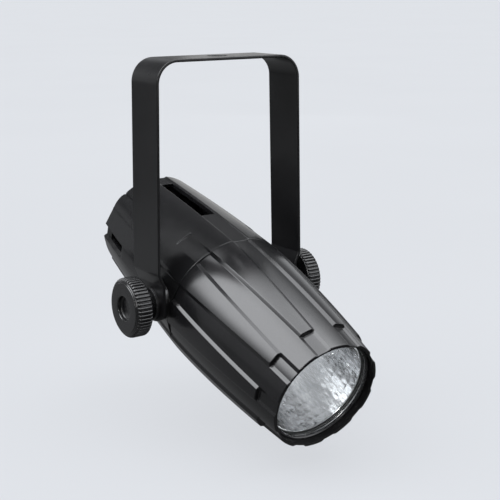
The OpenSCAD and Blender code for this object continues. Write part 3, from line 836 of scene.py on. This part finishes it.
register(build_housing(), "head", "rear_housing")

# ------------------------------------------------------------------ yoke
STRAP_W = 25.0
YOKE_W = 85.0
BEND_R = 12.0
LEAN_IN = 42.7  # inner face of the arm above the jog
JOG_TOP, PAD_TOP = 17.5, 11.5  # heights above the tilt axis
END_DROP, END_R = 9.0, 21.0  # the arm's end below the tilt axis, and its radius
DROP = -float(PIVOT[2]) / MM
STRAP_EDGE_R = 0.32


def strap_path():
    """Half of the mid-thickness path from the hanging hole to past the pivot, as rows of
    (length, x, z, nx, nz) in mm from the hole, and the length at the pivot."""
    bend_x, mid_r = YOKE_W / 2 - BEND_R, BEND_R - STRAP_T / 2
    slant = math.atan((LEAN_IN - ARM_IN) / (JOG_TOP - PAD_TOP))
    jog = STRAP_T * math.tan(slant / 2) / 2
    jog_top = (LEAN_IN + STRAP_T / 2, JOG_TOP - jog - DROP)
    jog_foot = (ARM_IN + STRAP_T / 2, PAD_TOP - jog - DROP)
    bend_z = STRAP_T / 2 - BEND_R
    lean = math.atan2(jog_top[0] - (bend_x + mid_r), bend_z - jog_top[1])
    points = [(0.0, 0.0)]
    for q in range(25):
        a = (math.pi / 2 + lean) * q / 24
        points.append((bend_x + mid_r * math.sin(a), bend_z + mid_r * math.cos(a)))
    arm = [points[-1], jog_top, jog_foot, (jog_foot[0], -DROP)]
    points += fillet(arm, [3.2] * 4, 6)[1:]
    points.append((jog_foot[0], -DROP - STRAP_W / 2 - 1))
    out, length = [], 0.0
    for i, point in enumerate(points):
        before = points[max(0, i - 1)]
        after = points[min(len(points) - 1, i + 1)]
        length += math.hypot(point[0] - before[0], point[1] - before[1])
        tangent = np.array([after[0] - before[0], after[1] - before[1]])
        tangent /= np.linalg.norm(tangent)
        normal = (0.0, 1.0) if i == 0 else (-tangent[1], tangent[0])
        out.append((length, *point, *normal))
    return np.array(out), out[-2][0]


PATH, PIVOT_LENGTH = strap_path()
# centre along the strap, radius, segments, gap to a ring of points, gap clear of other points
STRAP_HOLES = (
    (0, 5.25, 48, 1.6, 2.4),
    (PIVOT_LENGTH, 6.06, 56, 2.2, 1.9),
    (-PIVOT_LENGTH, 6.06, 56, 2.2, 1.9))
HANG_R = STRAP_HOLES[0][1]
ROW_WIDTHS = list(np.linspace(-STRAP_W / 2 + 3.2, STRAP_W / 2 - 3.2, 7))


def bend(u, w, h):
    """Flat pattern (u along the strap from the hole, w across, h through the thickness)
    to the bent yoke."""
    x, z, nx, nz = (np.interp(np.abs(u), PATH[:, 0], PATH[:, i]) for i in (1, 2, 3, 4))
    length = np.hypot(nx, nz)
    return np.array([(x + nx / length * h) * np.sign(u), w, z + nz / length * h]) * MM


def strap_rows():
    """Places along the strap of the rows of points across it, from right to left."""
    knots = list(PATH[1:-2, 0])
    half = list(np.linspace(8, knots[0] - 2, 6))
    for a, b in zip(knots, knots[1:] + [PIVOT_LENGTH - 9.0]):
        half.append(a)
        if b - a > 6:
            half += list(np.linspace(a, b, int((b - a) // 4.5) + 1)[1:-1])
    half += [PIVOT_LENGTH - 9.0, PIVOT_LENGTH - 6.0, PIVOT_LENGTH - 3.0]
    half = [round(u, 6) for u in half]
    return half[::-1] + [0.0] + [-u for u in half]


def circle(centre, radius, count):
    return [(centre + radius * math.cos(TAU * q / count), radius * math.sin(TAU * q / count))
            for q in range(count)]


def build_yoke():
    row_places = strap_rows()
    end_centre = PIVOT_LENGTH + END_DROP - END_R

    def loops(inset):
        """The outline and the holes of the flat pattern, moved into the metal by inset."""
        half_w, end_r = STRAP_W / 2 - inset, END_R - inset
        half_a = math.asin(half_w / end_r)
        steps = 40

        def end_arc(centre, start):
            angles = [start + 2 * half_a * q / steps for q in range(steps + 1)]
            return [(centre + end_r * math.cos(a), end_r * math.sin(a)) for a in angles]

        outline = end_arc(end_centre, -half_a) + [(u, half_w) for u in row_places]
        outline += end_arc(-end_centre, math.pi - half_a)
        outline += [(u, -half_w) for u in reversed(row_places)]
        return [outline] + [circle(u, r + inset, count) for u, r, count, _, _ in STRAP_HOLES]

    # flat faces: constrained triangulation inside the edge rounding
    points, edges = [], []
    for loop in loops(STRAP_EDGE_R):
        base, count = len(points), len(loop)
        points += loop
        edges += [(base + i, base + (i + 1) % count) for i in range(count)]
    points += [(u, w) for u in row_places for w in ROW_WIDTHS
               if all(math.hypot(u - c, w) > r + clear for c, r, _, _, clear in STRAP_HOLES)]
    for centre, radius, count, gap, _ in STRAP_HOLES:
        points += circle(centre, radius + gap, count)
    # straight rows across the bends keep the curve clean
    index = {(round(u, 5), round(w, 5)): i for i, (u, w) in enumerate(points)}
    flat_half = STRAP_W / 2 - STRAP_EDGE_R
    for u in row_places:
        row = [index.get((round(u, 5), round(w, 5)))
               for w in [-flat_half, *ROW_WIDTHS, flat_half]]
        for a, b in zip(row, row[1:]):
            if a is not None and b is not None and abs(u) > HANG_R + 2.0:
                edges.append((a, b))
    result = delaunay_2d_cdt([Vector(p) for p in points], edges, [], 0, 1e-7)
    flat_verts, flat_faces = result[0], result[2]

    def in_strap(face):
        c = sum((flat_verts[i] for i in face), Vector((0, 0))) / len(face)
        in_end = math.hypot(abs(c.x) - end_centre, c.y) < END_R - STRAP_EDGE_R + 1e-6
        return (abs(c.y) < flat_half + 1e-6 and (abs(c.x) <= PIVOT_LENGTH or in_end)
                and all(math.hypot(c.x - u, c.y) >= r + STRAP_EDGE_R - 0.02
                        for u, r, *_ in STRAP_HOLES))

    shells = Shells()
    kept = [tuple(face) for face in flat_faces if in_strap(face)]
    for sign in (1, -1):
        shells.add([bend(p.x, p.y, sign * STRAP_T / 2) for p in flat_verts],
                   [face[::sign] for face in kept])
    # edge bands: (inset, height) over the rounded edge from the outer face to the inner one
    corner = [(STRAP_EDGE_R * (1 - math.sin(t)),
               (STRAP_T / 2 - STRAP_EDGE_R) + STRAP_EDGE_R * math.cos(t)) for t in QUARTER]
    levels = corner + [(0.0, 0.0)] + [(inset, -h) for inset, h in reversed(corner)]
    for band in zip(*(loops(inset) for inset, _ in levels)):
        shells.grid(np.array([[bend(u, w, h) for u, w in loop]
                              for (_, h), loop in zip(levels, band)]))
    return shells.make("yoke_strap", "yoke_powder_coat")


register(build_yoke(), "yoke", "yoke")

# ------------------------------------------------------------------ knobs
KNOB_IN = 48.35
KNOB_OUT = KNOB_IN + 9.2
KNOB_R = 15.3
RIDGES = 48
RIDGE_STEPS = 16
KNURL_DEPTH = 0.95
KNOB_BORE_R = 4.0
# (radius, distance out from a base, share of the knurl depth if any), grouped by base
KNOB_PROFILE = (
    # hub
    (HUB_IN, ((KNOB_BORE_R, 0.2), (4.2, 0), (7.2, 0), (7.42, 0.08), (7.5, 0.3))),
    # inner face, knurled rim, stepped outer edge
    (KNOB_IN, (
        (7.5, -0.3), (7.62, -0.08), (7.9, 0), (10.5, 0), (13.2, 0), (13.9, 0.03),
        (14.15, 0.12), (14.30, 0.30), (14.36, 0.45),
        (14.5, 0.52, 0.12), (14.85, 0.62, 0.45), (15.12, 0.78, 0.8), (15.25, 1.0, 0.97),
        (KNOB_R, 1.4, 1.0), (KNOB_R, 2.6, 1.0), (KNOB_R, 4.2, 1.0), (KNOB_R, 5.8, 1.0),
        (KNOB_R, 6.8, 1.0), (15.24, 7.25, 1.0), (15.08, 7.6, 0.97), (14.86, 7.9, 0.90),
        (14.62, 8.1, 0.72), (14.38, 8.25, 0.42), (14.14, 8.34, 0.10),
        (13.98, 8.37), (13.82, 8.37), (13.76, 8.42), (13.70, 8.62), (13.58, 8.74),
        (13.38, 8.78), (13.12, 8.78), (13.02, 8.82), (12.96, 9.00), (12.84, 9.14))),
    # outer face and its recess
    (KNOB_OUT, (
        (12.60, -0.01), (12.3, 0), (9.5, 0), (7.1, 0), (6.62, -0.05), (6.38, -0.20),
        (6.25, -0.50), (6.22, -1.7), (6.05, -2.16), (5.6, -2.42), (5.0, -2.5), (3.0, -2.5),
        (1.2, -2.46), (0.35, -2.42))))


def build_knob(side, name):
    count = RIDGES * RIDGE_STEPS
    angles = np.arange(count) * TAU / count
    # 1 over a broad rounded ridge, 0 at the bottom of a narrow groove
    ridge = np.array([math.sqrt(max(0.0, 1 - (abs(i % RIDGE_STEPS / RIDGE_STEPS - 0.5) / 0.36)
                                    ** 2.6)) for i in range(count)])

    def ring(radius, x, knurl=0.0):
        radii = radius - knurl * KNURL_DEPTH * (1 - ridge)
        return side_points(side * x, radii * np.sin(angles), radii * np.cos(angles))

    rows = np.array([ring(radius, base + x, *knurl)
                     for base, profile in KNOB_PROFILE for radius, x, *knurl in profile])
    shells = Shells()
    shells.grid(rows)
    # close the recess floor, then add the stud bore behind the first row
    bore = len(shells.verts)
    shells.faces.append(tuple(range(bore - count, bore)))
    for x in (HUB_IN + 3.0, 51.9):
        shells.verts += [tuple(p) for p in ring(KNOB_BORE_R, x)]
    for q in range(count):
        q2 = (q + 1) % count
        shells.faces.append((q, q2, bore + q2, bore + q))
        shells.faces.append((bore + q, bore + q2, bore + count + q2, bore + count + q))
    shells.faces.append(tuple(range(bore + count, bore + 2 * count)))
    return shells.make(name, "knob_black")


for side, side_name in SIDES:
    register(build_knob(side, side_name + "_knob_moulding"), side_name + "_knob",
             side_name + "_knob")


# ------------------------------------------------------------------ washers
def build_washer(side, name, material, profile, radii, steps):
    shells = Shells()
    shells.lathe(closed_fillet(profile, radii, steps),
                 lambda x, y, h: side_points(side * h, x, y))
    return shells.make(name, material)


WASHER_GAP = 0.01
for side, side_name in SIDES:
    # the right washer stands in for the CAD node of the pair
    friction = build_washer(
        side, side_name + "_friction_washer", "rubber_black",
        tube(6.12, 8.6, BOSS_X + WASHER_GAP, ARM_IN - WASHER_GAP), [0.15, 0.3, 0.3, 0.15], 4)
    register(friction, "head", "friction_washers" if side == 1 else None)
    under_knob = build_washer(
        side, side_name + "_knob_washer", "washer_black_oxide",
        tube(4.3, 8.5, ARM_OUT + WASHER_GAP, HUB_IN - WASHER_GAP), 0.18, 3)
    register(under_knob, "yoke", "knob_washers" if side == 1 else None)


# ------------------------------------------------------------------ lens, ring, reflector
def build_lens():
    """Flat back and a shallow domed front."""
    dome_r, dome_height, steps, tip = 26.1, 1.2, 24, 0.0001
    profile = [(tip, 87.02), (20, 87.02), (27.0, 87.02), (27.2, 87.2), (27.2, 90.8),
               (27.05, 90.98), (26.4, 91.0)]
    for i in range(1, steps + 1):
        r = dome_r * (1 - i / steps)
        profile.append((max(r, tip), 91 + dome_height * (1 - (r / dome_r) ** 2)))
    shells = Shells()
    shells.lathe(profile, head_points, 128, wrap=False)
    return shells.make("lens_window", "lens_glass")


def build_ring():
    profile = [(26.32, 91.02), (27.45, 91.02), (27.45, 92.6), (26.75, 92.6), (26.32, 92.2)]
    shells = Shells()
    shells.lathe(closed_fillet(profile, [0.1, 0.1, 0.15, 0.15, 0.15], 3), head_points, 192)
    return shells.make("lens_retaining_ring", "ring_black")


def build_reflector():
    """Parabolic bowl with rows of domed facets, staggered by half a facet."""
    focal, focus = 3.6, 44.1
    throat, mouth = 43.9, 85.95
    facet_rows, facets, steps = 12, 40, 6
    facet_height = 0.10
    angles = np.arange(facets * steps) * TAU / (facets * steps)

    def bowl_radius(along):
        return math.sqrt(4 * focal * (along - (focus - focal)))

    row_ends = throat + (mouth - throat) * (np.linspace(0, 1, facet_rows + 1) ** 1.15)
    rows = []
    for i in range(facet_rows):
        for q in range(steps):
            t = q / steps
            along = row_ends[i] + (row_ends[i + 1] - row_ends[i]) * t
            u = (angles * facets / TAU + 0.5 * (i % 2)) % 1.0
            height = facet_height * min(1.0, 0.35 + i / facet_rows)
            radius = bowl_radius(along) + height * (4 * t * (1 - t)) * (4 * u * (1 - u))
            rows.append(head_ring(angles, radius, along))
    # (radius, station) of the flange, then of the back of the bowl
    mouth_r = bowl_radius(mouth)
    back = [(mouth_r, mouth), (mouth_r + 0.12, 85.98), (27.1, 85.98), (27.25, 85.9),
            (27.28, 85.4), (27.1, 85.24), (26.35, 85.22)]
    back += [(bowl_radius(along) + 0.8, along) for along in np.linspace(84.8, 44.4, 22)]
    back.append((bowl_radius(throat) + 0.78, throat))
    rows += [head_ring(angles, radius, along) for radius, along in back]
    shells = Shells()
    shells.grid(np.array(rows), wrap=True)
    return shells.make("reflector_bowl", "reflector_metallised", weighted=False)


register(build_lens(), "head", "lens")
register(build_ring(), "head", "lens_ring")
register(build_reflector(), "head", "reflector")

# ------------------------------------------------------------------ CAD nodes that stay
KEPT_NODES = {
    "rear_cover": "cover_black", "lens_gasket": "silicone_dark", "led_holder": "white_nylon",
    "led_emitter": "led_phosphor", "led_board": "white_solder_mask",
    "thermal_pad": "thermal_pad_grey", "led_screws": "screw_zinc",
    "heat_sink": "heat_sink_alloy", "heat_sink_screws": "screw_zinc",
    "housing_screws": "screw_zinc", "rear_cover_screws": "screw_zinc",
    "driver_tray": "tray_grey", "tray_screws": "screw_zinc", "driver_board": "board_green",
    "board_screws": "screw_zinc", "driver_transformer": "winding_tape",
    "driver_choke": "enamelled_copper", "driver_capacitors": "capacitor_sleeve",
    "driver_chip": "chip_package", "mains_terminal_block": "terminal_nylon",
    "power_inlet": "inlet_black", "inlet_pins": "brass_turned", "mains_leads": "lead_brown",
    "led_leads": "lead_red", "pivot_bushes": "brass_turned", "left_stud": "screw_zinc",
    "right_stud": "screw_zinc",
}
for node_name, material in KEPT_NODES.items():
    slots = frame["nodes"][node_name].data.materials
    slots.clear()
    slots.append(MATERIALS[material])

# bevel widths in mm for the parts that show from behind
ARRISES = (("rear_cover", 0.22), ("power_inlet", 0.25), ("inlet_pins", 0.15))
for node_name, width in ARRISES:
    modifiers = frame["nodes"][node_name].modifiers
    modifiers.new("weld", "WELD").merge_threshold = 0.00001
    bevel = modifiers.new("arris", "BEVEL")
    bevel.width = width * MM
    bevel.segments = 2
    bevel.limit_method = "ANGLE"
    bevel.angle_limit = math.radians(40)
    bevel.use_clamp_overlap = True
    bevel.harden_normals = False

# ------------------------------------------------------------------ floor
PALE = (0.668, 0.688, 0.722)
GLOW_COLOUR = (0.95, 0.97, 1.0)
FLOOR_GLOW = 0.28
FLOOR_Z = cad_box[0][2] - 0.012
# cards that the bowl mirrors through the lens: direction, cosines of outer and inner limit,
# strength
CARDS = (
    ((0.58, 0.30, -0.757), (0.80, 0.95), 3.2),
    ((0.76, -0.52, 0.39), (0.940, 0.992), 1.5),
    ((0.95, -0.27, -0.15), (0.915, 0.985), 1.9),
    ((-0.27, -0.40, -0.876), (0.965, 0.998), 0.22),
    ((-0.60, -0.55, -0.58), (0.93, 0.995), -0.10))


def lens_cards(shader, vector):
    """Light that reaches the lens from a direction: a grey room with a few soft cards."""
    room = shader.noise(vector, scale=5.0, shift=4.0)
    light = shader.ramp(room, over=(0.36, 0.66), to=(0.44, 0.74))
    for direction, cosines, strength in CARDS:
        facing = shader.dot(vector, direction)
        light = shader.total(light, shader.ramp(facing, over=cosines, to=(0.0, strength)))
    return light


def floor_material():
    """Pale to the camera, a soft glow to other rays and cards to rays through the lens."""
    shader, bsdf, output = new_material("studio_floor")
    coords = shader.coords()
    rays = shader.node("LightPath").outputs
    patches = shader.noise(coords, scale=3.0, detail=2.0, roughness=0.5)
    pale = shader.mix_colour(shader.ramp(patches, over=(0.3, 0.7)),
                             [c * 0.995 for c in PALE], [c * 1.005 for c in PALE])
    shader.feed(bsdf, {"Base Color": pale, "Roughness": 0.9, "Specular IOR Level": 0.1})
    flat = shader.node("Emission", {0: pale})
    seen = shader.mix_shader(0.93, bsdf.outputs[0], flat.outputs[0])
    y = shader.split(coords)[1]
    glow = shader.node("Emission", {0: GLOW_COLOUR, 1: shader.product(
        shader.ramp(y, over=(-0.30, 0.12), to=(0.03, FLOOR_GLOW)),
        shader.ramp(y, over=(0.42, 0.62), to=(1.0, 0.15)))})
    incoming = shader.geometry("Incoming")
    ray = shader.vector_math("SCALE", {0: incoming, "Scale": -1.0}).outputs[0]
    cards = shader.node("Emission", {0: (0.97, 0.98, 1.0), 1: lens_cards(shader, ray)})
    through_lens = shader.math("GREATER_THAN", rays["Transmission Depth"], 0.5)
    unseen = shader.mix_shader(through_lens, glow.outputs[0], cards.outputs[0])
    shader.feed(output, {0: shader.mix_shader(rays["Is Camera Ray"], unseen, seen)})


floor_material()
floor_corners = [(x, y, FLOOR_Z) for x, y in ((-30, -30), (30, -30), (30, 60), (-30, 60))]
make_mesh("floor", floor_corners, [(0, 1, 2, 3)], "studio_floor",
                   weighted=False, merge=False)


# ------------------------------------------------------------------ camera
def add_camera():
    azimuth, elevation, roll = map(math.radians, (-34.589, 13.626, -0.2416))
    # offsets in mm from the tilt joint, along the camera's own axes
    offset_right, offset_up, distance = 16.0646, 21.4348, 568.878
    back = np.array([math.sin(azimuth) * math.cos(elevation),
                     -math.cos(azimuth) * math.cos(elevation), math.sin(elevation)])
    right = np.array([math.cos(azimuth), math.sin(azimuth), 0.0])
    up = np.cross(back, right)
    right, up = (right * math.cos(roll) + up * math.sin(roll),
                 up * math.cos(roll) - right * math.sin(roll))
    place = PIVOT + (right * offset_right + up * offset_up + back * distance) * MM
    camera = bpy.data.cameras.new("photo_camera")
    camera.sensor_width = 36.0
    camera.lens = 77.264136
    camera.clip_start, camera.clip_end = 0.01, 200.0
    ob = bpy.data.objects.new("photo_camera", camera)
    ob.matrix_world = Matrix([*zip(right, up, back, place), (0, 0, 0, 1)])
    bpy.context.scene.collection.objects.link(ob)
    bpy.context.scene.camera = ob


add_camera()


# ------------------------------------------------------------------ lights
def add_area(name, place, size, power, colour=(1, 1, 1), target=tuple(PIVOT)):
    """Rectangular light; size is (width, height) in metres."""
    light = bpy.data.lights.new(name, "AREA")
    light.shape = "RECTANGLE"
    light.size, light.size_y = size
    light.energy = power
    light.color = colour
    light.spread = math.pi
    ob = bpy.data.objects.new(name, light)
    ob.location = place
    ob.rotation_euler = (Vector(target) - Vector(place)).to_track_quat("-Z", "Y").to_euler()
    ob.visible_camera = False
    bpy.context.scene.collection.objects.link(ob)


add_area("key_softbox", place=(-0.66, -0.88, 0.36), size=(0.30, 0.30), power=4.0,
         colour=(1.0, 0.99, 0.98))
add_area("left_strip", place=(-1.30, 0.10, -0.10), size=(0.22, 0.8), power=0.4)
add_area("arm_card", place=(-0.39, 0.40, -0.13), size=(0.17, 0.30), power=0.055,
         colour=GLOW_COLOUR, target=(-0.043, 0.0, -0.06))
add_area("rim_strip", place=(0.85, 1.10, 0.10), size=(0.35, 0.8), power=0.6)

# ------------------------------------------------------------------ world
SOFTBOX, SIDE_BOX = 8.0, 2.6
BACK_GLOW, FRONT_GLOW = 1.0, 0.04
BACKDROP = 1.115
# A large overhead softbox with one crisp edge. EDGE_NORMAL is square to the plane through
# that edge. The angle along the edge, from RUN and MIDDLE, goes from left (+) to right (-).
EDGE_NORMAL = (-0.399, -0.818, 0.413)
MIDDLE = (-0.238, 0.528, 0.815)
RUN = (-0.885, 0.227, -0.406)
DARK_PATCH = (-0.49, 0.87, 0.05)


def radians(*degrees):
    return [math.radians(a) for a in degrees]


def sines(*degrees):
    return [math.sin(a) for a in radians(*degrees)]


def build_world():
    world = bpy.data.worlds.new("studio")
    bpy.context.scene.world = world
    world.use_nodes = True
    shader = Shader(world.node_tree)
    ramp, product, total = shader.ramp, shader.product, shader.total
    rays = shader.node("LightPath").outputs
    direction = shader.coords("Generated")
    x, y, z = shader.split(direction)
    edge = shader.dot(direction, EDGE_NORMAL)
    run = shader.math("ARCTAN2", shader.dot(direction, RUN), shader.dot(direction, MIDDLE))
    bowed_edge = total(edge, total(
        ramp(run, over=radians(4, 30), to=sines(0, 3.5)),
        ramp(run, over=radians(-46, -12), to=sines(4, 0))))
    softbox = product(
        ramp(bowed_edge, over=sines(-1.0, 11.5)),
        ramp(edge, over=sines(34, 76), to=(1.0, 0.03)),
        ramp(run, over=radians(30, 46), to=(1.0, 0.0)),
        ramp(run, over=radians(-90, -25), to=(0.35, 1.0)),
        ramp(run, over=radians(-23, -3), to=(0.64, 1.0)),
        SOFTBOX)
    side_box = product(
        ramp(edge, over=sines(-24, 0)),
        ramp(run, over=radians(-52, -28), to=(1.0, 0.0)),
        ramp(run, over=radians(-72, -60), to=(0.15, 1.0)),
        ramp(edge, over=sines(30, 56), to=(1.0, 0.03)),
        SIDE_BOX)
    # glow round the horizon, fading upward to a level that is higher on the right
    high = ramp(x, over=(0.05, 0.50), to=(0.09, 0.30))
    fade = ramp(z, over=(0.24, 0.42), to=(1.0, 0.0))
    fade = total(product(shader.math("SUBTRACT", 1.0, high), fade), high)
    shade = product(ramp(x, over=(0.30, 0.55)), ramp(y, over=(0.60, 0.735), to=(0.0, 0.93)))
    horizon = product(
        ramp(y, over=(-0.15, 0.45), to=(FRONT_GLOW, BACK_GLOW)),
        fade,
        shader.math("SUBTRACT", 1.0, shade),
        ramp(x, over=(-0.76, -0.58), to=(0.42, 1.0)),
        ramp(shader.dot(direction, DARK_PATCH), over=(0.90, 0.985), to=(1.0, 0.36)))
    through_lens = shader.math("GREATER_THAN", rays["Transmission Depth"], 0.5)
    light = shader.mix_value(through_lens, total(softbox, side_box, horizon),
                             lens_cards(shader, direction))
    seen = rays["Is Camera Ray"]
    shader.feed(world.node_tree.nodes["Background"], {
        0: shader.mix_colour(seen, GLOW_COLOUR, PALE),
        1: shader.mix_value(seen, light, BACKDROP)})


build_world()

scene = bpy.context.scene
scene.view_settings.view_transform = "Standard"
scene.view_settings.look = "None"
scene.cycles.use_denoising = True
